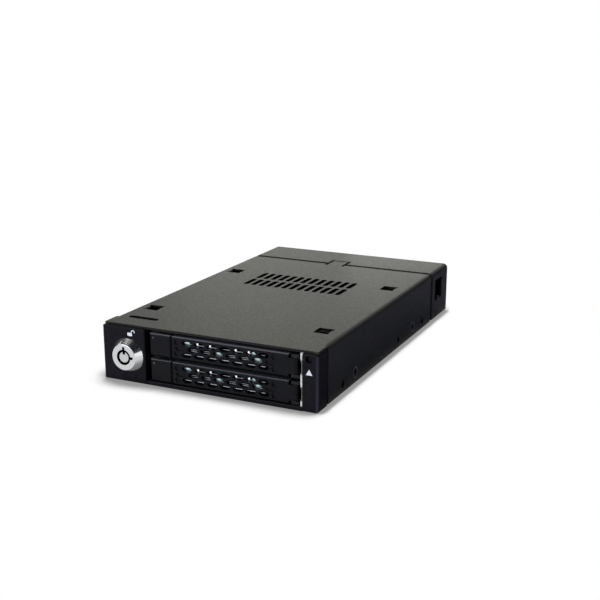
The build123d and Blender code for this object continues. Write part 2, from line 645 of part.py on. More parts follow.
def port(across, height):
    """Socket at the rear edge of the level board, with a tongue in its mouth."""
    base = CONTROLLER_Z[1]
    left, right = across
    body = block(across, (BODY_DEPTH - PORT_L, BODY_DEPTH), (base, base + height))
    mouth = (BODY_DEPTH - PORT_DEPTH, BODY_DEPTH)
    body -= block((left + PORT_WALL, right - PORT_WALL), mouth, (base + PORT_WALL, base + height - PORT_WALL))
    tongue_z = (base + height / 2 - PORT_TONGUE_T / 2, base + height / 2 + PORT_TONGUE_T / 2)
    tongue_x = (left + PORT_WALL + PORT_TONGUE_INSET, right - PORT_WALL - PORT_TONGUE_INSET)
    return body + block(tongue_x, (mouth[0], mouth[1] - PORT_WALL), tongue_z)


def lock_housing():
    """Tapered head and barrel of the lock, with two key notches in the rim of its keyway."""
    base = facing(LOCK_X, 0, LOCK_Z, (0, -1, 0))
    head = base * Cone(LOCK_BASE_R, LOCK_FACE_R, LOCK_PROUD, align=FROM_BASE)
    head = fillet(head.edges().sort_by(Axis.Y)[0], LOCK_RIM)
    body = head + rod_y(BARREL_R, LOCK_X, (0, BARREL_END), LOCK_Z)
    body -= rod_y(KEYWAY_R, LOCK_X, (-LOCK_PROUD, BARREL_END), LOCK_Z)
    notch_y = (-LOCK_PROUD, -LOCK_PROUD + KEY_NOTCH_DEPTH)
    half = KEY_NOTCH_W / 2
    body -= block((LOCK_X - half, LOCK_X + half), notch_y, (LOCK_Z, LOCK_Z + KEY_NOTCH_R))
    return body - block((LOCK_X, LOCK_X + KEY_NOTCH_R), notch_y, (LOCK_Z - half, LOCK_Z + half))


def lock_nut():
    """Nut behind the bezel's wall."""
    across_corners = RegularPolygon(NUT_FLATS / 2, 6, major_radius=False)
    nut = extrude(facing(LOCK_X, BEZEL_WALL, LOCK_Z, (0, 1, 0)) * across_corners, NUT_T)
    return nut - rod_y(BARREL_R, LOCK_X, (BEZEL_WALL, BEZEL_WALL + NUT_T), LOCK_Z)


def lock_core():
    """Turning plug: notched post in the keyway and a full shank behind it."""
    front = -LOCK_PROUD + POST_SHY
    post = rod_y(POST_R, LOCK_X, (front, KEYWAY_END), LOCK_Z)
    half = KEY_NOTCH_W / 2
    notch_z = (LOCK_Z + POST_R - POST_NOTCH_DEPTH, LOCK_Z + POST_R)
    post -= block((LOCK_X - half, LOCK_X + half), (front, front + KEY_NOTCH_DEPTH), notch_z)
    return post + rod_y(KEYWAY_R - PIN_GAP, LOCK_X, (KEYWAY_END, CORE_END), LOCK_Z)


def lock_cam():
    """Disc on the end of the core, with the pin that drives the lock slide."""
    disc = rod_y(CAM_R, LOCK_X, CAM_Y, LOCK_Z)
    return disc + rod_y(CAM_PIN_R, cam_pin_x(), (CAM_Y[1], SLIDE_Y[1]), cam_pin_z())


def cam_pin_x():
    """Pin's place at rest: half a turn of the lock to the left of upright."""
    return LOCK_X - LOCK_THROW / 2


def cam_pin_z():
    """Height of the pin at rest."""
    return LOCK_Z + (CAM_ARM ** 2 - (LOCK_THROW / 2) ** 2) ** 0.5


def lock_slide():
    """Plate that the cam moves sideways, with a tongue for each tray."""
    slide = block(SLIDE_X, SLIDE_Y, (BASE_TOP + RUN_GAP, SLIDE_TOP))
    for z in FINGER_ZS:
        heights = (z - FINGER_H / 2, z + FINGER_H / 2)
        slide += block(FINGER_X, (TONGUE_Y[0], SLIDE_Y[0]), heights)
        slide += block((FINGER_X[1], TONGUE_END_X), TONGUE_Y, heights)
    half = CAM_PIN_R + CAM_SLOT_GAP
    slot_x = (cam_pin_x() - half, cam_pin_x() + half)
    return slide - block(slot_x, SLIDE_Y, (cam_pin_z() - half, LOCK_Z + CAM_ARM + half))


def bracket_screw_xs():
    """Places of the two bracket screws along X."""
    return (SLIDE_X[0] + STANDOFF_INSET, SLIDE_X[1] - STANDOFF_INSET)


def bracket_screw_y():
    """Depth of the bracket screws."""
    return BRACKET_Y[1] + BRACKET_FOOT / 2


def lock_bracket():
    """Angle that holds the lock slide against the cam."""
    foot_z = (BASE_TOP, BASE_TOP + BRACKET_T)
    bracket = block(SLIDE_X, BRACKET_Y, (BASE_TOP, BRACKET_TOP))
    bracket += block(SLIDE_X, (BRACKET_Y[1], BRACKET_Y[1] + BRACKET_FOOT), foot_z)
    for x in bracket_screw_xs():
        bracket -= rod_z(BOARD_SCREW_R, x, bracket_screw_y(), foot_z)
    return bracket


def bracket_screws():
    """Screws of the bracket's foot."""
    return [pan_screw(x, bracket_screw_y(), BASE_TOP + BRACKET_T) for x in bracket_screw_xs()]


def tray(low):
    """Drive tray: floor with air windows, rails, windowed header, latch pocket and hinge ears."""
    top = low + RAIL_H
    floor_z = (low, low + TRAY_FLOOR)
    frame = block(TRAY_X, (HEADER_Y[0], TRAY_REAR), floor_z)
    hole_ys = [DRIVE_REAR - DRIVE_HOLE_SETBACK - n * DRIVE_HOLES_ALONG for n in range(2)]
    for y in hole_ys:
        for x in (TRAY_MID_X - DRIVE_HOLES_ACROSS / 2, TRAY_MID_X + DRIVE_HOLES_ACROSS / 2):
            frame -= rod_z(DRIVE_HOLE_R, x, y, floor_z)
    window_x = (TRAY_X[0] + TRAY_WINDOW_SIDE, TRAY_X[1] - TRAY_WINDOW_SIDE)
    window_y = (hole_ys[1] + TRAY_WINDOW_END, hole_ys[0] - TRAY_WINDOW_END)
    middle = sum(window_y) / 2
    frame -= block(window_x, (window_y[0], middle - TRAY_WINDOW_RIB / 2), floor_z)
    frame -= block(window_x, (middle + TRAY_WINDOW_RIB / 2, window_y[1]), floor_z)
    for rail_x in ((TRAY_X[0], TRAY_X[0] + RAIL), (TRAY_X[1] - RAIL, TRAY_X[1])):
        frame += block(rail_x, (HEADER_Y[0], TRAY_REAR), (low, top))
    frame += block(TRAY_X, HEADER_Y, (low, top))
    opening_z = (low + TRAY_FLOOR + HEADER_RIM, top - HEADER_RIM)
    mullion = (DOOR_X + HINGE_X) / 2
    frame -= block((DOOR_X + HEADER_RIM, mullion - HEADER_RIM / 2), HEADER_Y, opening_z)
    frame -= block((mullion + HEADER_RIM / 2, HINGE_X - KNUCKLE_R), HEADER_Y, opening_z)
    frame += latch_pocket(low, top)
    for ear_z in ((low, low + EAR_T), (top - EAR_T, top)):
        ear = block((HINGE_X - EAR_REACH, TRAY_X[1]), (EAR_FRONT, HEADER_Y[0]), ear_z)
        frame += ear - rod_z(HINGE_PIN_R, HINGE_X, HINGE_Y, ear_z)
    stem_gap = LATCH_STEM_INSET - RUN_GAP
    frame -= block((LATCH_X[0] + stem_gap, LATCH_X[1] - stem_gap), HEADER_Y, latch_stem_heights(low, RUN_GAP))
    lock_y = (TONGUE_Y[0] - LOCK_WINDOW_GAP, TONGUE_Y[1] + LOCK_WINDOW_GAP)
    for z in FINGER_ZS:
        half = FINGER_H / 2 + LOCK_WINDOW_GAP
        if low < z < top:
            frame -= block((TRAY_X[0], TRAY_X[0] + RAIL), lock_y, (z - half, z + half))
    return frame


def latch_pocket(low, top):
    """Walls behind the latch button that its spring rests on."""
    wall_x = (LATCH_X[1], LATCH_X[1] + RAIL)
    walls = block(wall_x, (HEADER_Y[1], POCKET_BACK_Y[1]), (low + TRAY_FLOOR, top - HEADER_RIM))
    return walls + block((TRAY_X[0] + RAIL, wall_x[0]), POCKET_BACK_Y, (low + TRAY_FLOOR, top - HEADER_RIM))


def latch_stem_heights(low, extra):
    """Heights of a latch button's stem, widened by a gap."""
    stem_low = low + TRAY_FLOOR + 2 * RUN_GAP
    stem_high = low + FRONT_RISE + FRONT_H - LATCH_STEM_INSET
    return (stem_low - extra, stem_high + extra)


def latch_button(low):
    """Square push button beside the door: front plate with a raised dot, and a stem behind it."""
    heights = (low + FRONT_RISE, low + FRONT_RISE + FRONT_H)
    plate_y = (FRONT_SETBACK, FRONT_SETBACK + LATCH_PLATE_T)
    plate = block(LATCH_X, plate_y, heights)
    plate = chamfer(plate.faces().sort_by(Axis.Y)[0].edges(), FRONT_CHAMFER)
    stem_x = (LATCH_X[0] + LATCH_STEM_INSET, LATCH_X[1] - LATCH_STEM_INSET)
    plate += block(stem_x, (plate_y[1], LATCH_STEM_Y), latch_stem_heights(low, 0))
    dot_at = facing(LATCH_X[0] + LATCH_DOT_INSET, FRONT_SETBACK, heights[1] - LATCH_DOT_INSET, (0, -1, 0))
    return plate + dot_at * Cone(LATCH_DOT_R, LATCH_DOT_R / 2, FRONT_SETBACK, align=FROM_BASE)


def latch_spring(low):
    """Bent leaf between the latch pocket's back wall and the button's stem."""
    middle = sum(LATCH_X) / 2
    foot = POCKET_BACK_Y[0]
    tip = LATCH_STEM_Y + SPRING_REST_GAP
    half = SPRING_SPAN / 2
    outline = [(-half, foot), (-half + SPRING_T, foot), (0, tip + SPRING_T), (half - SPRING_T, foot),
               (half, foot), (SPRING_T, tip), (-SPRING_T, tip)]
    z = low + FRONT_RISE + FRONT_H / 2 - SPRING_H / 2
    face = make_face(Polyline([(middle + x, FRONT_Y + y, z) for x, y in outline], close=True))
    return extrude(face, SPRING_H, dir=(0, 0, 1))


def hexagon(x, z, width, y):
    """Cutter for one hexagon of the grille between two depths."""
    half_w, half_h = width / 2, HEX_H / 2
    flat = half_w - HEX_POINT * width / HEX_W
    corners = [(half_w, 0), (flat, half_h), (-flat, half_h), (-half_w, 0), (-flat, -half_h), (flat, -half_h)]
    face = make_face(Polyline([(x + dx, FRONT_Y + y[0], z + dz) for dx, dz in corners], close=True))
    return extrude(face, y[1] - y[0], dir=(0, 1, 0))


def door(low):
    """Grilled tray handle: thin front with a rim behind it and a knuckle round the hinge pin."""
    heights = (low + FRONT_RISE, low + FRONT_RISE + FRONT_H)
    full_end = HINGE_X - DOOR_NOTCH
    panel = block((DOOR_X, full_end), DOOR_Y, heights)
    panel = chamfer(edges_at(panel, Axis.X, Axis.Y, 0), FRONT_CHAMFER)
    skin_y = (DOOR_Y[0], DOOR_Y[0] + DOOR_SKIN)
    inside_z = (heights[0] + DOOR_RIM, heights[1] - DOOR_RIM)
    panel -= block((DOOR_X + DOOR_RIM, full_end - DOOR_RIM), (skin_y[1], DOOR_Y[1]), inside_z)
    knuckle_z = (low + EAR_T + RUN_GAP, low + RAIL_H - EAR_T - RUN_GAP)
    panel += block((full_end - DOOR_RIM, HINGE_X), DOOR_Y, knuckle_z)
    panel += rod_z(KNUCKLE_R, HINGE_X, HINGE_Y, knuckle_z)
    panel -= rod_z(HINGE_PIN_R + PIN_GAP, HINGE_X, HINGE_Y, knuckle_z)
    sunk_y = (skin_y[0], skin_y[0] + HEX_BLIND_DEPTH)
    cuts = []
    for row in (-1, 0, 1):
        z = sum(heights) / 2 + row * HEX_ROW_PITCH
        columns = HEX_COLUMNS - 1 if row == 0 else HEX_COLUMNS
        end_w = HEX_W if row == 0 else HEX_END_W
        first = DOOR_X + HEX_FIRST + (HEX_PITCH / 2 if row == 0 else 0)
        last = first + (columns - 1) * HEX_PITCH
        for column in range(columns):
            cuts.append(hexagon(first + column * HEX_PITCH, z, HEX_W, skin_y))
        to_end = HEX_PITCH - HEX_W / 2 + end_w / 2
        for x in (first - to_end, last + to_end):
            cuts.append(hexagon(x, z, end_w, sunk_y))
    return panel - cuts


def hinge_pin(low):
    """Pin through the tray's ears and the door's knuckle."""
    return rod_z(HINGE_PIN_R, HINGE_X, HINGE_Y, (low + HINGE_PIN_SHY, low + RAIL_H - HINGE_PIN_SHY))


PARTS = {
    "top_cover": top_cover(),
    "rear_cover": rear_cover(),
    "base_plate": base_plate(),
    "front_bezel": front_bezel(),
    "light_guide": light_guide(),
    "indicator_board": indicator_board(),
    "indicator_leds": indicator_leds(),
    "tact_switch": tact_switch(),
    "push_button": push_button(),
    "left_guide": guide(-1, TRAY_X[0] - RUN_GAP, LEFT_GUIDE_FRONT),
    "right_guide": guide(1, TRAY_X[1] + RUN_GAP, INDICATOR_Y[1]),
    "side_screws": side_screws(),
    "backplane_board": backplane_board(),
    "controller_board": controller_board(),
    "controller_chip": controller_chip(),
    "link_connector": link_connector(),
    "board_standoffs": board_standoffs(),
    "board_screws": board_screws(),
    "data_port": port(DATA_PORT_X, DATA_PORT_H),
    "power_port": port(POWER_PORT_X, POWER_PORT_H),
    "lock_housing": lock_housing(),
    "lock_nut": lock_nut(),
    "lock_core": lock_core(),
    "lock_cam": lock_cam(),
    "lock_slide": lock_slide(),
    "lock_bracket": lock_bracket(),
    "bracket_screws": bracket_screws(),
}
for bay, bay_low in zip(TRAY_NAMES, TRAY_LOWS):
    PARTS[f"{bay}_drive_connector"] = drive_connector(bay_low)
    PARTS[f"{bay}_tray"] = tray(bay_low)
    PARTS[f"{bay}_latch_button"] = latch_button(bay_low)
    PARTS[f"{bay}_latch_spring"] = latch_spring(bay_low)
    PARTS[f"{bay}_door"] = door(bay_low)
    PARTS[f"{bay}_hinge_pin"] = hinge_pin(bay_low)

os.makedirs("parts", exist_ok=True)
for name, solids in PARTS.items():
    export_step(Compound(children=solids) if isinstance(solids, list) else solids, f"parts/{name}.step")
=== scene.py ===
import math

import bpy
import numpy as np
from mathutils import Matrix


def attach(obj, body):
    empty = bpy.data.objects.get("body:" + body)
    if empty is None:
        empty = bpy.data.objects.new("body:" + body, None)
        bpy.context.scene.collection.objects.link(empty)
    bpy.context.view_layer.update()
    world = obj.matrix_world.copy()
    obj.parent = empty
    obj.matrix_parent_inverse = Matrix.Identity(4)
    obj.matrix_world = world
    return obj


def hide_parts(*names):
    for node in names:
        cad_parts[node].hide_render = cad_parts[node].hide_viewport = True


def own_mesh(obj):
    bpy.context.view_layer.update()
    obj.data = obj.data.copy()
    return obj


# Looks of a two-bay hot swap drive cage: finishes for every solid, printed marks, contacts, leaf springs,
# board parts and screens, a pale floor, soft studio light and the camera. Lengths on the cage are in
# millimetres and turned to metres by MM. The studio's own are in metres.
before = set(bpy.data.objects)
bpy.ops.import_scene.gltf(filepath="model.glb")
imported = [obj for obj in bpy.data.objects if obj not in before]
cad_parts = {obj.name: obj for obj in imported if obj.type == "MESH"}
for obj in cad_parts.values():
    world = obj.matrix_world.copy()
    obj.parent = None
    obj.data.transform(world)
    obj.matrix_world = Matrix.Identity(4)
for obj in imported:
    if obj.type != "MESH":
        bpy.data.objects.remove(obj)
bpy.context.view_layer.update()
MM = 0.001
X_AXIS, Y_AXIS, Z_AXIS = (1, 0, 0), (0, 1, 0), (0, 0, 1)

# Places and sizes of the solids in the frame
FRONT_Y = -82.0
LOCK_X, LOCK_Z, LOCK_FACE_Y, KEYHOLE_R = -38.6, 11.8, -85.0, 4.75
SCREW_YS, SCREW_Z, SCREW_R = (-43.5, 30.0), 5.4, 2.7
GRILLE_MIDDLES = {"lower": 7.1, "upper": 18.4}
FIRST_HOLE_X, HOLE_PITCH, HOLE_ROW_PITCH = -9.35, 6.0, 2.5
DOOR_LOW, DOOR_H, BAY_PITCH = 2.3, 9.6, 11.3
BAY_FLOORS = {"lower": 2.9, "upper": 14.2}
TRAY_MID_X = 6.3
CONNECTOR_MOUTH_Y = 32.9
BOARD_TOP = 7.4
PORT_BACK_Y = 77.0
CHIP_MID_Y, CHIP_HALF = 62.75, 7.0

# Where a finish changes: painted shade behind the sheets' skin, a painted highlight on edges, grey dots,
# painted shade in the keyhole (depths below the lock's face), the screws' paler rims (shares of the radius)
# and the light guide's lit windows, with painted shade between them
SKIN_Z, SKIN_X, SKIN_Y = (2.2, 25.35), 48.4, 82.5
EDGE_HIGHLIGHT, DOT_Y, CORNER_OUT = 0.35, -81.78, (131.55, 131.85)
KEYHOLE_SHADE = (0.35, 0.6)
RIM_PALE, RIM_GROOVE = (0.72, 0.86), (0.99, 0.93)
LIT_Z, LIT_PITCH, LIT_HALF = 12.6, 11.2, (2.3, 3.0)

# Patterns: the part of a noise's range that counts, the lathe rings' depth, and the tracks' place in their
# net of cells and height on the board
NOISE_SPREAD = (0.35, 0.65)
RING_DEPTH = 0.004
TRACK_FROM, TRACK_H = 0.86, 0.035


def linear(colour):
    """Linear colour of an sRGB hex value: a straight line near black and a power of 2.4 above it."""
    coded = np.array([int(colour[start:start + 2], 16) for start in (1, 3, 5)]) / 255.0
    rgb = np.where(coded <= 0.04045, coded / 12.92, ((coded + 0.055) / 1.055) ** 2.4)
    return (*(float(value) for value in rgb), 1.0)


def add(tree, kind, inputs=None, **settings):
    """Adds a node. Settings are its own properties; inputs are values for its sockets, or outputs that feed
    them."""
    made = tree.nodes.new("ShaderNode" + kind)
    for name, value in settings.items():
        setattr(made, name, value)
    for name, value in (inputs or {}).items():
        if isinstance(value, bpy.types.NodeSocket):
            tree.links.new(value, made.inputs[name])
        else:
            made.inputs[name].default_value = value
    return made


def maths(tree, operation, first, second):
    """Result of one operation on two values."""
    return add(tree, "Math", {0: first, 1: second}, operation=operation).outputs["Value"]


def ramp(tree, value, start, end, low=0.0, high=1.0):
    """Value carried along a straight line from one range to another, and held at the ends."""
    return add(tree, "MapRange", {"Value": value, "From Min": start, "From Max": end, "To Min": low,
                                  "To Max": high}).outputs["Result"]


def mixed(tree, share, *colours):
    """Colour between two others, which are sRGB hex values or made by the tree."""
    first, second = (linear(colour) if isinstance(colour, str) else colour for colour in colours)
    return add(tree, "MixRGB", {"Fac": share, "Color1": first, "Color2": second}).outputs["Color"]


def axes(tree, place):
    """X, Y and Z of a place."""
    return add(tree, "SeparateXYZ", {"Vector": place}).outputs


def per_metre(size):
    """Scale of a texture whose features are this many millimetres apart."""
    return 1.0 / (size * MM)


def noise(tree, place, size, detail=2.0):
    """Soft noise whose features are this many millimetres apart."""
    cloud = add(tree, "TexNoise", {"Vector": place, "Scale": per_metre(size), "Detail": detail})
    return cloud.outputs["Fac"]


def blank(name):
    """New material with an empty node tree, and the frame's own coordinates in it."""
    made = bpy.data.materials.new(name)
    made.use_nodes = True
    made.node_tree.nodes.clear()
    return made, made.node_tree, add(made.node_tree, "TexCoord").outputs["Object"]


def principled(tree, sockets):
    """Ends a tree in one shader with these values on its sockets."""
    shader = add(tree, "BsdfPrincipled", sockets)
    add(tree, "OutputMaterial", {"Surface": shader.outputs["BSDF"]})


def painted_shade_under_skin(tree, place):
    """1 behind the outer skin of the folded sheets, on their inner faces and cut edges, where painted shade
    goes: the place is lower than the top, higher than the floor and within the folds at the sides and ends."""
    span = add(tree, "VectorMath", {0: place}, operation="ABSOLUTE")
    apart = axes(tree, span.outputs["Vector"])
    share = maths(tree, "GREATER_THAN", apart["Z"], SKIN_Z[0] * MM)
    for axis, limit in (("Z", SKIN_Z[1]), ("X", SKIN_X), ("Y", SKIN_Y)):
        share = maths(tree, "MULTIPLY", share, maths(tree, "LESS_THAN", apart[axis], limit * MM))
    return share


def edge_highlight_and_dots(tree, place):
    """1 along the upper edges of the doors and latch buttons, where a grey highlight is painted: where the
    height above the lowest one, counted anew in each bay, is near the front's own height; and on the dots
    that stand proud of the buttons."""
    apart = axes(tree, place)
    height = maths(tree, "SUBTRACT", apart["Z"], DOOR_LOW * MM)
    in_bay = maths(tree, "MODULO", height, BAY_PITCH * MM)
    edge = ramp(tree, in_bay, (DOOR_H - EDGE_HIGHLIGHT) * MM, (DOOR_H - EDGE_HIGHLIGHT / 2) * MM)
    return maths(tree, "MAXIMUM", edge, maths(tree, "LESS_THAN", apart["Y"], DOT_Y * MM))


def right_edge_highlight(tree, place):
    """1 along the bezel's right front edge, where a grey highlight is painted: where x less y, the way out to
    that corner, is greatest.
    """
    apart = axes(tree, place)
    outwards = maths(tree, "SUBTRACT", apart["X"], apart["Y"])
    return ramp(tree, outwards, CORNER_OUT[0] * MM, CORNER_OUT[1] * MM)


def off_axis(tree, place, point, across):
    """Distance from an axis through a point, in the two directions that across keeps."""
    arm = add(tree, "VectorMath", {0: place, 1: np.array(point) * MM}, operation="SUBTRACT")
    flat = add(tree, "VectorMath", {0: arm.outputs["Vector"], 1: across}, operation="MULTIPLY")
    return add(tree, "VectorMath", {0: flat.outputs["Vector"]}, operation="LENGTH").outputs["Value"]


def finish(name, colours, roughness, patch, grain, depth, sockets=None, second=None):
    """Opaque finish: colour and roughness wander between two values over patches of one size, and a bump of
    a finer grain and a depth breaks up the gloss. A second colour covers the places that its function
    gives."""
    made, tree, place = blank(name)
    share = ramp(tree, noise(tree, place, patch, detail=4.0), *NOISE_SPREAD)
    colour = mixed(tree, share, *colours)
    if second:
        where, tone = second
        colour = mixed(tree, where(tree, place), colour, tone)
    bump = add(tree, "Bump", {"Height": noise(tree, place, grain), "Distance": depth * MM})
    principled(tree, {"Base Color": colour, "Roughness": ramp(tree, share, 0.0, 1.0, *roughness),
                      "Normal": bump.outputs["Normal"]} | (sockets or {}))
    return made


def turned_chrome(name, colour, dark, roughness, ring):
    """Plated metal turned on a lathe: rings of one spacing about the lock's axis tilt the mirror a little,
    and the keyhole's walls are painted dark, a painted shade for that recess."""
    made, tree, place = blank(name)
    about = add(tree, "Mapping", {"Vector": place, "Location": (-LOCK_X * MM, 0.0, -LOCK_Z * MM)})
    # a ring pattern repeats every 2 pi / 20 of its scaled radius
    wave = add(tree, "TexWave", {"Vector": about.outputs["Vector"],
                                 "Scale": per_metre(ring) * math.pi / 10, "Distortion": 0.6, "Detail": 2.0},
               wave_type="RINGS", rings_direction="Y")
    rings = wave.outputs["Fac"]
    bump = add(tree, "Bump", {"Height": rings, "Distance": RING_DEPTH * MM, "Strength": 0.5})
    radius = off_axis(tree, place, (LOCK_X, 0.0, LOCK_Z), (1.0, 0.0, 1.0))
    # painted shade: within the keyhole's radius and deeper than its mouth the colour turns dark
    inside = maths(tree, "LESS_THAN", radius, KEYHOLE_R * MM)
    deep = ramp(tree, axes(tree, place)["Y"], *((LOCK_FACE_Y + depth) * MM for depth in KEYHOLE_SHADE))
    keyhole = maths(tree, "MULTIPLY", inside, deep)
    principled(tree, {"Base Color": mixed(tree, keyhole, colour, dark), "Metallic": 1.0,
                      "Roughness": ramp(tree, rings, 0.0, 1.0, *roughness),
                      "Normal": bump.outputs["Normal"]})
    return made


def blackened_screw(name, dark, rim):
    """Blackened screw heads with paler bevelled rims: the tone follows the distance from the nearer screw's
    axis."""
    made, tree, place = blank(name)
    spans = [off_axis(tree, place, (0.0, y, SCREW_Z), (0.0, 1.0, 1.0)) for y in SCREW_YS]
    radius = maths(tree, "MINIMUM", *spans)
    pale_rim, groove = (ramp(tree, radius, start * SCREW_R * MM, end * SCREW_R * MM)
                      for start, end in (RIM_PALE, RIM_GROOVE))
    tone = mixed(tree, maths(tree, "MULTIPLY", pale_rim, groove), dark, rim)
    principled(tree, {"Base Color": tone, "Roughness": 0.42, "Specular IOR Level": 0.2})
    return made


def etched_board(name, lacquer, track, cell):
    """Lacquered circuit board: copper tracks show as a paler net with square corners of one cell size."""
    made, tree, place = blank(name)
    net = add(tree, "TexVoronoi", {"Vector": place, "Scale": per_metre(cell)}, distance="MANHATTAN",
              feature="F2")
    share = maths(tree, "GREATER_THAN", net.outputs["Distance"], TRACK_FROM)
    bump = add(tree, "Bump", {"Height": share, "Distance": TRACK_H * MM})
    principled(tree, {"Base Color": mixed(tree, share, lacquer, track), "Roughness": 0.3,
                      "Normal": bump.outputs["Normal"], "Coat Weight": 0.4})
    return made


def milky_acrylic(name, colours, shade_tone, cloud):
    """Moulded light guide: light soaks a little way in, so it glows softly and shows faint clouds. It is
    clear at its lit windows, one pitch apart up the front, and darker between them, where painted shade
    stands for the shadow of the doors' hinge knuckles."""
    made, tree, place = blank(name)
    clear = mixed(tree, noise(tree, place, cloud), *colours)
    from_lit = maths(tree, "SUBTRACT", axes(tree, place)["Z"], LIT_Z * MM)
    from_lit = maths(tree, "PINGPONG", from_lit, LIT_PITCH / 2 * MM)
    # painted shade: between the lit windows the colour turns darker
    shade_between = ramp(tree, from_lit, LIT_HALF[0] * MM, LIT_HALF[1] * MM)
    principled(tree, {"Base Color": mixed(tree, shade_between, clear, shade_tone), "Roughness": 0.35, "IOR": 1.49,
                      "Subsurface Weight": 0.6, "Subsurface Scale": 1.5 * MM,
                      "Subsurface Radius": (1.0, 0.95, 0.85)})
    return made


# Powder coat, sprayed and baked: a dark olive grey skin with a fine orange peel, drawn coarser than its real
# 0.3 mm so that it still shows, which catches a broad soft sheen at low angles; black painted shade inside,
# on the cut edges and on the seam strip's top, where these places lie in shade
POWDER_COAT = finish("powder_coated_steel_baked", ("#24251d", "#2f3027"), roughness=(0.42, 0.56), patch=0.9,
                     grain=0.9, depth=0.06, sockets={"Specular IOR Level": 0.21},
                     second=(painted_shade_under_skin, "#030303"))
# ABS moulded in a spark-eroded tool: blue-black, an even fine grain (coarser than the real 0.15 mm), low
# sheen, and a grey painted highlight along the right front corner
ABS_GRAINED = finish("abs_moulded_spark_eroded", ("#0d0d12", "#15151c"), roughness=(0.46, 0.56), patch=1.6,
                     grain=0.7, depth=0.02, sockets={"Specular IOR Level": 0.08},
                     second=(right_edge_highlight, "#3c3d46"))
# ABS from a smoother tool: the touched parts are a little glossier; a grey painted highlight runs along their
# upper edges, and the dots on the buttons are grey
ABS_SATIN = finish("abs_moulded_satin", ("#0b0c10", "#121318"), roughness=(0.34, 0.42), patch=1.6, grain=0.6,
                   depth=0.01, sockets={"Specular IOR Level": 0.1}, second=(edge_highlight_and_dots, "#4c4d54"))
# Black dip coat on the tray sheets: even and half matt, so the trays vanish in the shade of their bays
DIP_COAT = finish("black_dip_coated_sheet", ("#101012", "#18181b"), roughness=(0.4, 0.5), patch=6.0,
                  grain=0.8, depth=0.01, sockets={"Specular IOR Level": 0.2})
# Glass-filled nylon: dull black with a cloudy surface
NYLON = finish("nylon_glass_filled_moulded", ("#161617", "#212122"), roughness=(0.5, 0.65), patch=3.0,
               grain=0.5, depth=0.012)
# Epoxy moulding compound of a chip: charcoal, dry and fine-grained
CHIP_EPOXY = finish("epoxy_moulded_chip_case", ("#1f2022", "#27282a"), roughness=(0.55, 0.7), patch=2.0,
                    grain=0.4, depth=0.01)
# Zinc-plated steel, barrel plated: a pale grey metal with soft cloudy gloss
ZINC_PLATE = finish("zinc_plated_steel_barrelled", ("#a9abad", "#c3c5c6"), roughness=(0.25, 0.4), patch=2.5,
                    grain=0.5, depth=0.006, sockets={"Metallic": 1.0})
# Blackened steel screws: dull black heads with paler rims
BLACK_OXIDE = blackened_screw("black_oxide_steel_screw", "#101114", "#8e9096")
# Polished stainless rivet heads of the screen behind the grille: bright specks in the dark holes
STAINLESS = finish("stainless_steel_polished", ("#e3e9ea", "#f1f4f4"), roughness=(0.14, 0.22), patch=0.9,
                   grain=0.4, depth=0.004, sockets={"Metallic": 1.0})
# Stainless strip, rolled and dull: the screen's tabs, cool grey and even
ROLLED_STRIP = finish("stainless_steel_rolled", ("#93a8ac", "#a9bcbf"), roughness=(0.34, 0.44), patch=0.9,
                      grain=0.4, depth=0.004, sockets={"Metallic": 1.0})
# Stainless wire, drawn: greyer, with a soft gloss
DRAWN_WIRE = finish("stainless_steel_wire_drawn", ("#878d90", "#a0a6a9"), roughness=(0.26, 0.36), patch=0.9,
                    grain=0.4, depth=0.004, sockets={"Metallic": 1.0})
# Cold-rolled spring steel: bright and straight, slightly bluish
SPRING_STEEL = finish("spring_steel_cold_rolled", ("#8f949a", "#a5aab0"), roughness=(0.2, 0.32), patch=2.0,
                      grain=0.4, depth=0.004, sockets={"Metallic": 1.0})
# Gold flash over nickel on the contacts: warm and glossy
GOLD_FLASH = finish("gold_flash_on_nickel", ("#d9b25a", "#e8c878"), roughness=(0.16, 0.26), patch=1.0,
                    grain=0.3, depth=0.002, sockets={"Metallic": 1.0})
# Drawn aluminium cans: soft white metal
CAN_ALUMINIUM = finish("aluminium_drawn_can", ("#b9bcbf", "#d2d4d6"), roughness=(0.3, 0.42), patch=1.2,
                       grain=0.3, depth=0.006, sockets={"Metallic": 1.0})
# Pad-printed ink: thin, matt and nearly white, a trifle uneven
PRINT_INK = finish("pad_printed_ink", ("#eef2f8", "#fafcff"), roughness=(0.5, 0.6), patch=1.2, grain=0.4,
                   depth=0.004)
# Chromed die casting with a turned face: a bright mirror softened by lathe rings
CHROME = turned_chrome("chrome_plated_turned", "#cdcecf", "#08080a", roughness=(0.1, 0.2), ring=0.55)
# Nickel-plated plug of the lock: greyer and duller than the head
NICKEL = turned_chrome("nickel_plated_turned", "#c4c5c6", "#08080a", roughness=(0.2, 0.32), ring=0.4)
# Lacquered glass-fibre board with etched tracks: green under a glossy skin, with a paler net
CIRCUIT_BOARD = etched_board("glass_fibre_board_lacquered", "#1d4a2c", "#357248", cell=3.2)
# Acrylic with a white scatter, moulded: a soft milky glow, with painted shade between the lit windows
ACRYLIC = milky_acrylic("acrylic_moulded_milky", ("#e6e4da", "#f4f3eb"), shade_tone="#5c5b56", cloud=3.0)
# Epoxy cast round the lamps: the same glow, a little yellower
LED_RESIN = milky_acrylic("epoxy_cast_lamp", ("#e6e0c4", "#f2eeda"), shade_tone="#d8d2b8", cloud=1.0)

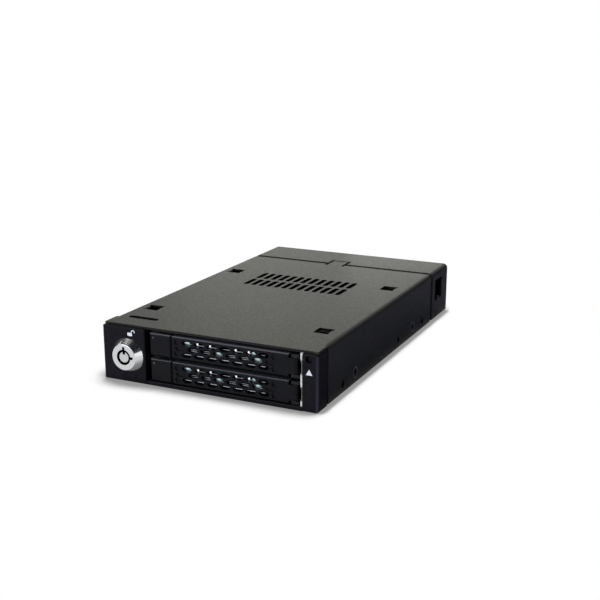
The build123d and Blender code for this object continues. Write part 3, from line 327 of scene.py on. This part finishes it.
BAYS = ("lower", "upper")
FINISHES = {
    POWDER_COAT: ["top_cover", "rear_cover", "base_plate"],
    ABS_GRAINED: ["front_bezel", "push_button"],
    ABS_SATIN: [f"{bay}_{part}" for bay in BAYS for part in ("door", "latch_button")],
    NYLON: ["left_guide", "right_guide", "link_connector", "data_port", "power_port", "tact_switch",
            *(f"{bay}_drive_connector" for bay in BAYS)],
    CHIP_EPOXY: ["controller_chip"],
    ZINC_PLATE: ["board_standoffs", "board_screws", "lock_nut", "lock_cam", "lock_slide", "lock_bracket",
                 "bracket_screws"],
    BLACK_OXIDE: ["side_screws"],
    SPRING_STEEL: [f"{bay}_{part}" for bay in BAYS for part in ("latch_spring", "hinge_pin")],
    CHROME: ["lock_housing"],
    NICKEL: ["lock_core"],
    DIP_COAT: [f"{bay}_tray" for bay in BAYS],
    CIRCUIT_BOARD: ["indicator_board", "backplane_board", "controller_board"],
    ACRYLIC: ["light_guide"],
    LED_RESIN: ["indicator_leds"],
}
for coat, names in FINISHES.items():
    for name in names:
        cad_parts[name].data.materials.clear()
        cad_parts[name].data.materials.append(coat)


def piece(name, points, coat, body="chassis", round_v=False):
    """Mesh of grids: points has the shape (copies, along, across, 3) in millimetres. Neighbours on a grid
    are joined by quads, and with round_v the last row across is joined to the first."""
    copies, along, across, _ = points.shape
    index = np.arange(copies * along * across).reshape(copies, along, across)
    rows = np.concatenate([index, index[:, :, :1]], axis=2) if round_v else index
    quads = np.stack([rows[:, :-1, :-1], rows[:, 1:, :-1], rows[:, 1:, 1:], rows[:, :-1, 1:]], axis=-1)
    mesh = bpy.data.meshes.new(name)
    mesh.from_pydata((points.reshape(-1, 3) * MM).tolist(), [], quads.reshape(-1, 4).tolist())
    mesh.materials.append(coat)
    mesh.update()
    made = bpy.data.objects.new(name, mesh)
    bpy.context.scene.collection.objects.link(made)
    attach(made, body)
    return made


def thicken(made, thickness, offset):
    """Gives a thin piece its thickness, to its front with an offset of 1 and to its back with -1."""
    sheet = made.modifiers.new("sheet", "SOLIDIFY")
    sheet.thickness, sheet.offset = thickness * MM, offset


# Printed marks on the bezel, as X and Z on its front: a padlock with an open shackle, and a pointer
PRINT_T = 0.03
PADLOCK_X, PADLOCK_Z, PADLOCK_POWER = (-38.2, -35.9), (20.7, 22.2), 0.35
SHACKLE_X, SHACKLE_FEET, SHACKLE_SPRING, SHACKLE_W = (-36.2, -34.7), (22.2, 22.25), 22.5, 0.4
POINTER_APEX, POINTER_BASE_X, POINTER_BASE_Z = (46.85, 18.1), (45.4, 48.3), 15.7


def printed(name, flat):
    """Mark on the bezel: a grid of X and Z on the front plane, thickened forwards to a film of ink. The
    rows are turned round where the grid would face the rear."""
    down, across = np.diff(flat, axis=0)[:, :-1], np.diff(flat, axis=1)[:-1]
    if (down[..., 1] * across[..., 0] - down[..., 0] * across[..., 1]).sum() > 0:
        flat = flat[::-1]
    points = np.stack([flat[..., 0], np.full(flat.shape[:-1], FRONT_Y), flat[..., 1]], axis=-1)
    thicken(piece(name, points[None], PRINT_INK), PRINT_T, 1.0)


def normals(path):
    """Unit normals to the left of a flat path: its tangents, turned by a quarter."""
    tangent = np.gradient(path, axis=0)
    tangent /= np.linalg.norm(tangent, axis=1, keepdims=True)
    return np.stack([-tangent[:, 1], tangent[:, 0]], axis=1)


def band(path, width):
    """Strip of one width along a flat path: each point is moved half the width to both sides."""
    aside = normals(path) * width / 2
    return np.stack([path + aside, path - aside], axis=1)


def arch(sides, feet, spring):
    """Path up one leg, over a half circle between two x values at the springing height, and down the
    other leg."""
    turn = np.linspace(math.pi, 0.0, 25)
    radius = (sides[1] - sides[0]) / 2
    over = np.stack([sides[0] + radius + radius * np.cos(turn), spring + radius * np.sin(turn)], axis=1)
    return np.concatenate([[[sides[0], feet[0]]], over, [[sides[1], feet[1]]]])


def block_with_round_corners(x, z, power):
    """Superellipse: the x and z of a circle raised to a power below one, filled in from its middle."""
    turn = np.linspace(0.0, 2 * math.pi, 49)[:, None]
    share = np.linspace(0.0, 1.0, 4)[None, :]
    wave_x, wave_z = np.cos(turn), np.sin(turn)
    flat_x = sum(x) / 2 + share * np.sign(wave_x) * np.abs(wave_x) ** power * (x[1] - x[0]) / 2
    flat_z = sum(z) / 2 + share * np.sign(wave_z) * np.abs(wave_z) ** power * (z[1] - z[0]) / 2
    return np.stack([flat_x, flat_z], axis=-1)


def pointer(apex, base_x, base_z):
    """Triangle: rows from the apex down to the base line, each as wide as its share of the height."""
    down = np.linspace(0.0, 1.0, 9)[:, None]
    across = np.linspace(0.0, 1.0, 9)[None, :]
    x = apex[0] + down * (base_x[0] + across * (base_x[1] - base_x[0]) - apex[0])
    z = np.broadcast_to(apex[1] + down * (base_z - apex[1]), x.shape)
    return np.stack([x, z], axis=-1)


printed("padlock_body_mark", block_with_round_corners(PADLOCK_X, PADLOCK_Z, PADLOCK_POWER))
printed("padlock_shackle_mark", band(arch(SHACKLE_X, SHACKLE_FEET, SHACKLE_SPRING), SHACKLE_W))
printed("pointer_mark", pointer(POINTER_APEX, POINTER_BASE_X, POINTER_BASE_Z))


def leads(name, path, across, places, section, coat, body="chassis"):
    """Strips of metal: a path in two directions given by across gets four corners at every point, half the
    section's width along the third direction and half its thickness along the path's normal. The ends close
    in a pole, and the strip is repeated at every place."""
    normal = normals(path)
    first, second, third = (np.array(axis, float) for axis in across)
    middle = path[:, :1] * first + path[:, 1:] * second
    out = normal[:, :1] * first + normal[:, 1:] * second
    width, thick = section
    corners = np.array([(-1, -1), (1, -1), (1, 1), (-1, 1)]) / 2
    ring = (middle[:, None] + corners[None, :, :1] * width * third
            + corners[None, :, 1:] * thick * out[:, None])
    ends = np.broadcast_to(middle[[0, -1], None], (2, 4, 3))
    ring = np.concatenate([ends[:1], ring, ends[1:]])
    return piece(name, np.asarray(places)[:, None, None, :] + ring[None], coat, body, round_v=True)


# Contacts: bowed springs on the tongue of each drive connector, in two groups, and flat blades on the tongues
# of the ports. Sections are width and thickness.
PITCH = 1.27
DRIVE_GROUPS, GROUP_GAP = (7, 15), 5.0
CONNECTOR_OFF_X, FIRST_CONTACT_X, TONGUE_H = -9.0, -17.5, 2.4
BOW_START, BOW_RUN, BOW_LIFT, BOW_RISE, BOW_SECTION = 0.3, 3.8, 0.12, 0.55, (0.7, 0.2)
BLADE_START, BLADE_RUN, BLADE_LIFT, BLADE_SECTION = 0.2, 6.4, 0.05, (0.8, 0.1)
# Middle, number of contacts and height above the board
PORTS = {"data": (21.25, 7, 4.1), "power": (-19.5, 15, 3.8)}


def row_of(first, count, y, z):
    """Places along X at the contacts' pitch, at one depth and height."""
    x = first + PITCH * np.arange(count)
    return np.stack([x, np.full(count, y), np.full(count, z)], axis=1)


share = np.linspace(0.0, 1.0, 13)
bow = np.stack([BOW_START + BOW_RUN * share, BOW_LIFT + BOW_RISE * np.sin(math.pi * share) ** 2], axis=1)
blade = np.stack([BLADE_START + BLADE_RUN * share, np.full(share.shape, BLADE_LIFT)], axis=1)
first_x = TRAY_MID_X + CONNECTOR_OFF_X + FIRST_CONTACT_X
second_x = first_x + DRIVE_GROUPS[0] * PITCH + GROUP_GAP
for bay, floor in BAY_FLOORS.items():
    places = np.concatenate([row_of(x, count, CONNECTOR_MOUTH_Y, floor + TONGUE_H)
                             for x, count in zip((first_x, second_x), DRIVE_GROUPS)])
    leads(f"{bay}_drive_contacts", bow, (Y_AXIS, Z_AXIS, X_AXIS), places, BOW_SECTION, GOLD_FLASH)
for port, (middle, count, height) in PORTS.items():
    places = row_of(middle - PITCH * (count - 1) / 2, count, PORT_BACK_Y, BOARD_TOP + height)
    leads(f"{port}_contacts", blade, (Y_AXIS, Z_AXIS, X_AXIS), places, BLADE_SECTION, GOLD_FLASH)

# Leaf springs behind the latch buttons: one wave of a cosine, from the pocket's wall to the button and back.
LEAF_X, LEAF_FOOT_Y, LEAF_HALF, LEAF_RISE = -22.2, -72.4, 3.15, 2.6
LEAF_W, LEAF_T, LEAF_PRESSED = 5.0, 0.3, 0.46
run = np.linspace(-1.0, 1.0, 25)
wave = LEAF_FOOT_Y - LEAF_T / 2 - LEAF_RISE * (0.5 + 0.5 * np.cos(math.pi * run))
for bay, middle in GRILLE_MIDDLES.items():
    leaf = leads(f"{bay}_latch_leaf", np.stack([LEAF_HALF * run, wave], axis=1), (X_AXIS, Y_AXIS, Z_AXIS),
                 [(LEAF_X, 0.0, middle)], (LEAF_W, LEAF_T), SPRING_STEEL, body=f"{bay}_tray")
    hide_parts(f"{bay}_latch_spring")
    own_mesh(leaf)

# Folded strip under the seam of the two covers: up one wall, over the top and down the other wall
SEAM_MID_Y, SEAM_STRIP_SECTION = 58.3, (5.4, 0.5)
SEAM_STRIP_X, SEAM_STRIP_Z, SEAM_STRIP_R = 49.5, (10.3, 24.1), 0.95
fold = np.linspace(math.pi, math.pi / 2, 9)
left_bend = np.stack([SEAM_STRIP_R * (1 + np.cos(fold)) - SEAM_STRIP_X,
                      SEAM_STRIP_Z[1] - SEAM_STRIP_R * (1 - np.sin(fold))], axis=1)
left_half = np.concatenate([[(-SEAM_STRIP_X, SEAM_STRIP_Z[0])], left_bend])
# painted shade: the strip's top lies behind the skin, so the coat paints it black and the seam reads dark
leads("seam_strip", np.concatenate([left_half, left_half[::-1] * (-1, 1)]), (X_AXIS, Z_AXIS, (0, -1, 0)),
      [(0.0, SEAM_MID_Y, 0.0)], SEAM_STRIP_SECTION, POWDER_COAT)

# Gull-wing leads of the chip: out of the case, down to the board and along it
WING = np.array([(0.0, 0.7), (0.35, 0.7), (0.5, 0.6), (0.7, 0.18), (0.85, 0.1), (1.4, 0.1)])
WINGS, WING_PITCH, WING_SECTION = 16, 0.8, (0.35, 0.12)
# Way out of the case and line of the leads on each of its sides
CHIP_SIDES = {"right": (X_AXIS, Y_AXIS), "left": ((-1, 0, 0), Y_AXIS), "rear": (Y_AXIS, X_AXIS),
              "front": ((0, -1, 0), X_AXIS)}
steps = WING_PITCH * (np.arange(WINGS) - (WINGS - 1) / 2)
for side, (out, line) in CHIP_SIDES.items():
    edge = np.array((0.0, CHIP_MID_Y, BOARD_TOP)) + CHIP_HALF * np.array(out)
    places = edge + steps[:, None] * np.array(line)
    leads(f"chip_leads_{side}", WING, (out, Z_AXIS, np.cross(out, Z_AXIS)), places, WING_SECTION, ZINC_PLATE)

# Electrolytic capacitors beside the side windows: a rolled top edge, a straight can and a crimped foot, as
# radii and heights above the board
CAN = np.array([(0.0, 7.55), (2.5, 7.6), (2.9, 7.5), (3.1, 7.2), (3.1, 2.3), (2.8, 2.0), (2.8, 1.7),
                (3.1, 1.4), (3.1, 0.6), (2.9, 0.3), (0.0, 0.3)])
CAN_XS, CAN_YS = (33.5, -38.0), (66.5, 59.0)


def turned(profile, places):
    """Surfaces of revolution about Z: radius and height pairs swung round in 32 steps at every place."""
    turn = np.linspace(0.0, 2 * math.pi, 32, endpoint=False)
    ring = np.stack([profile[:, :1] * np.cos(turn), profile[:, :1] * np.sin(turn),
                     np.broadcast_to(profile[:, 1:], (len(profile), len(turn)))], axis=-1)
    return np.asarray(places, float)[:, None, None, :] + ring[None]


piece("board_capacitors", turned(CAN, [(x, y, BOARD_TOP) for x in CAN_XS for y in CAN_YS]), CAN_ALUMINIUM,
      round_v=True)

# Screen behind each grille: four wires across the door's hollow, with tabs and rivet heads on them. Seen from
# above and from the right, what lies behind the front looks higher and further right, so all is set off by
# that. Tabs and rivets are given as places (X, and Z above the grille's middle) with their sizes.
SCREEN_Y, SHIFT_X, SHIFT_Z = -80.0, -0.8, -0.5
WIRE_X = (-13.4, 26.6)
WIRE_HEIGHTS, WIRE_RADII = (2.45, 0.3, -0.45, -2.25), (0.13, 0.12, 0.13, 0.25)
TABS = {(-9.2, 2.5): (2.9, 1.4), (5.65, 0.0): (2.4, 1.5), (22.55, 2.5): (2.1, 1.4),
        (23.65, 0.0): (2.8, 1.7)}
RIVET, RIVET_OFFSET, RIVET_HOLES = 1.8, -1.2, (1, 2, 4, 5)
RIVETS = {(FIRST_HOLE_X + HOLE_PITCH * hole + RIVET_OFFSET, HOLE_ROW_PITCH): (RIVET, RIVET)
          for hole in RIVET_HOLES}
TAB_BULGE, RIVET_BULGE, TAB_T = 0.12, 0.2, 0.15


def rods(ends, radii, places):
    """Round wires along X between two ends: rings of 12 points, closed to a point at both ends."""
    turn = np.linspace(0.0, 2 * math.pi, 12, endpoint=False)
    x = np.array([ends[0], ends[0], ends[1], ends[1]])[None, :, None]
    radius = np.array(radii)[:, None, None] * np.array([0.0, 1.0, 1.0, 0.0])[None, :, None]
    y = radius * np.sin(turn) + np.array(places)[:, :1, None]
    z = radius * np.cos(turn) + np.array(places)[:, 1:, None]
    return np.stack([np.broadcast_to(x, y.shape), y, z], axis=-1)


def pads(middles, sizes, bulge):
    """Pillow-shaped pads that face the front: flat at the edges, and raised in the middle by a product of two
    parabolas across the width and the height."""
    reach = np.linspace(-1.0, 1.0, 9)
    u, v = reach[None, :, None], reach[None, None, ::-1]
    middles, sizes = np.array(middles, float), np.array(sizes, float)
    x = middles[:, :1, None] + u * sizes[:, :1, None] / 2 + 0 * v
    z = middles[:, 1:, None] + v * sizes[:, 1:, None] / 2 + 0 * u
    y = np.broadcast_to(SCREEN_Y - bulge * (1 - u * u) * (1 - v * v), x.shape)
    return np.stack([x, y, z], axis=-1)


for bay, middle in GRILLE_MIDDLES.items():
    wires = rods(WIRE_X, WIRE_RADII, [(SCREEN_Y, middle + SHIFT_Z + z) for z in WIRE_HEIGHTS])
    piece(f"{bay}_screen_wires", wires, DRAWN_WIRE, body=f"{bay}_door", round_v=True)
    for name, spots, bulge, coat in (("tabs", TABS, TAB_BULGE, ROLLED_STRIP),
                                     ("rivets", RIVETS, RIVET_BULGE, STAINLESS)):
        middles = [(x + SHIFT_X, middle + SHIFT_Z + z) for x, z in spots]
        pressed = pads(middles, list(spots.values()), bulge)
        thicken(piece(f"{bay}_screen_{name}", pressed, coat, body=f"{bay}_door"), TAB_T, -1.0)

# Shade of the cage on the floor: the x where its reach changes, its reach left and right of that, how open to
# the sky the floor is where the shade is deepest and where it ends, and the floor's level at both
SHADE_X, SHADE_REACH = (51.0, 53.0), (14.0, 5.5)
SHADE_OPEN, SHADE_LEVEL = (0.56, 0.93), (0.3, 1.0)


def to_the_eye(tree):
    """Share of a ray that the eye follows: straight, by a mirror or through glass."""
    path = add(tree, "LightPath").outputs
    seen = maths(tree, "MAXIMUM", path["Is Camera Ray"], path["Is Glossy Ray"])
    return maths(tree, "MAXIMUM", seen, path["Is Transmission Ray"])


def pale_floor(name):
    """White to the eye, and darker where the cage stands close above it, in a narrower band at the
    right."""
    made, tree, place = blank(name)
    reach = ramp(tree, axes(tree, place)["X"], SHADE_X[0] * MM, SHADE_X[1] * MM, SHADE_REACH[0] * MM,
                 SHADE_REACH[1] * MM)
    near = add(tree, "AmbientOcclusion", {"Distance": reach}, samples=16)
    shade = add(tree, "MapRange", {"Value": near.outputs["AO"], "From Min": SHADE_OPEN[0],
                                   "From Max": SHADE_OPEN[1], "To Min": SHADE_LEVEL[0],
                                   "To Max": SHADE_LEVEL[1]}, interpolation_type="SMOOTHSTEP")
    white = add(tree, "Emission", {"Color": linear("#ffffff"), "Strength": shade.outputs["Result"]})
    pale = add(tree, "BsdfDiffuse", {"Color": linear("#e8e8e6")})
    shown = add(tree, "MixShader", {0: to_the_eye(tree), 1: pale.outputs["BSDF"],
                                    2: white.outputs["Emission"]})
    add(tree, "OutputMaterial", {"Surface": shown.outputs["Shader"]})
    return made


def lit_card(name, weave, levels):
    """White card that shines, a little unevenly over a weave of one size."""
    made, tree, place = blank(name)
    strength = ramp(tree, noise(tree, place, weave), 0.0, 1.0, *levels)
    shine = add(tree, "Emission", {"Color": linear("#ffffff"), "Strength": strength})
    add(tree, "OutputMaterial", {"Surface": shine.outputs["Emission"]})
    return made


def level(x, y, z):
    """Corners of a level sheet between two x and two y values."""
    return [(x[0], y[0], z), (x[1], y[0], z), (x[1], y[1], z), (x[0], y[1], z)]


def upright(x, y, z):
    """Corners of an upright sheet across X, between two y and two z values."""
    return [(x, y[0], z[0]), (x, y[1], z[0]), (x, y[1], z[1]), (x, y[0], z[1])]


def studio_sheet(name, corners, coat, unseen_by=()):
    """Four-cornered sheet of the studio, corners in metres. The kinds of ray that don't see it are listed."""
    mesh = bpy.data.meshes.new(name)
    mesh.from_pydata(corners, [], [(0, 1, 2, 3)])
    mesh.materials.append(coat)
    made = bpy.data.objects.new(name, mesh)
    bpy.context.scene.collection.objects.link(made)
    for ray in unseen_by:
        setattr(made, f"visible_{ray}", False)


# Matt card: black or grey, with a faint cloud in it
BLACK_CARD = finish("studio_black_card", ("#252526", "#3f3f40"), roughness=(0.9, 1.0), patch=4.0, grain=1.0,
                    depth=0.01)
GREY_CARD = finish("studio_grey_card", ("#9696a8", "#a6a6ba"), roughness=(0.9, 1.0), patch=4.0, grain=1.0,
                   depth=0.01)
# Card lit from behind: an even white glow
WHITE_CARD = lit_card("studio_white_card", weave=4.0, levels=(1.3, 1.5))
FLOOR_SPAN, FLOOR_Z = (-2.5, 2.5), -1e-4
studio_sheet("floor", level(FLOOR_SPAN, FLOOR_SPAN, FLOOR_Z), pale_floor("studio_floor"))
# Cards that the camera doesn't see. A black one standing to the right and a grey one lying there keep the
# right side dark. A black canopy and a white card are there for mirrors alone: they draw the dark top and the
# bright right of the lock.
MIRRORS_ALONE = ("camera", "diffuse", "shadow")
studio_sheet("right_flag", upright(0.3, (-0.5, 2.0), (0.02, 0.5)), BLACK_CARD, ("camera",))
studio_sheet("floor_flag", level((0.053, 0.3), (-0.08, 2.0), 0.0), GREY_CARD, ("camera", "shadow"))
studio_sheet("canopy", level((-0.4, 0.55), (-0.45, 0.2), 0.3), BLACK_CARD, MIRRORS_ALONE)
studio_sheet("glint_card", upright(0.16, (-0.2, -0.09), (0.0, 0.08)), WHITE_CARD, MIRRORS_ALONE)

# Studio: an even, dim and bluish room that looks white
ROOM_COLOUR, ROOM_LEVEL = "#bfcdff", 0.32
world = bpy.data.worlds.new("studio")
world.use_nodes = True
sky = world.node_tree
sky.nodes.clear()
room = add(sky, "Background", {"Color": linear(ROOM_COLOUR), "Strength": ROOM_LEVEL})
white = add(sky, "Background", {"Color": linear("#ffffff"), "Strength": 1.0})
shown = add(sky, "MixShader", {0: to_the_eye(sky), 1: room.outputs["Background"],
                               2: white.outputs["Background"]})
add(sky, "OutputWorld", {"Surface": shown.outputs["Shader"]})
bpy.context.scene.world = world
bpy.context.scene.view_settings.view_transform = "Standard"

# Lamps: place and aim, side of the square, power in watts and colour
LAMPS = {
    "key_light": ((-0.26, -0.19, 0.55), (0.0, -0.02, 0.02), 0.24, 2.3, "#fffdf6"),
    "front_light": ((-0.35, -0.75, 0.3), (0.0, -0.08, 0.01), 0.5, 2.6, "#f4f6ff"),
    "rear_light": ((-0.21, 0.37, 0.125), (-0.02, 0.04, 0.025), 0.16, 0.085, "#fffdf4"),
    "rear_right_light": ((0.0, 0.15, 0.047), (0.035, 0.08, 0.025), 0.06, 0.013, "#fffdf4"),
}


def soft_box(name, place, aim, size, power, colour):
    """Square lamp at a place, turned towards a point."""
    data = bpy.data.lights.new(name, "AREA")
    data.size, data.energy, data.color = size, power, linear(colour)[:3]
    lamp = bpy.data.objects.new(name, data)
    away = np.array(place) - np.array(aim)
    lamp.location = place
    lamp.rotation_euler = (math.acos(away[2] / np.linalg.norm(away)), 0.0, math.atan2(away[0], -away[1]))
    bpy.context.scene.collection.objects.link(lamp)


for name, settings in LAMPS.items():
    soft_box(name, *settings)

# Camera at the photograph's viewing angle: aim, turn to the right, rise, distance and lens
TARGET, FAR = np.array((9.9, -12.01, 24.66)) * MM, 476.83 * MM
TURN, RISE = math.radians(25.25), math.radians(15.4)
FOCAL_LENGTH, SENSOR, CLIP = 61.61, 36.0, (0.01, 20.0)
back = np.array((math.sin(TURN) * math.cos(RISE), -math.cos(TURN) * math.cos(RISE), math.sin(RISE)))
lens = bpy.data.cameras.new("camera")
lens.lens, lens.sensor_width = FOCAL_LENGTH, SENSOR
lens.clip_start, lens.clip_end = CLIP
camera = bpy.data.objects.new("camera", lens)
camera.location = TARGET + back * FAR
camera.rotation_euler = (math.pi / 2 - RISE, 0.0, TURN)
bpy.context.scene.collection.objects.link(camera)
bpy.context.scene.camera = camera
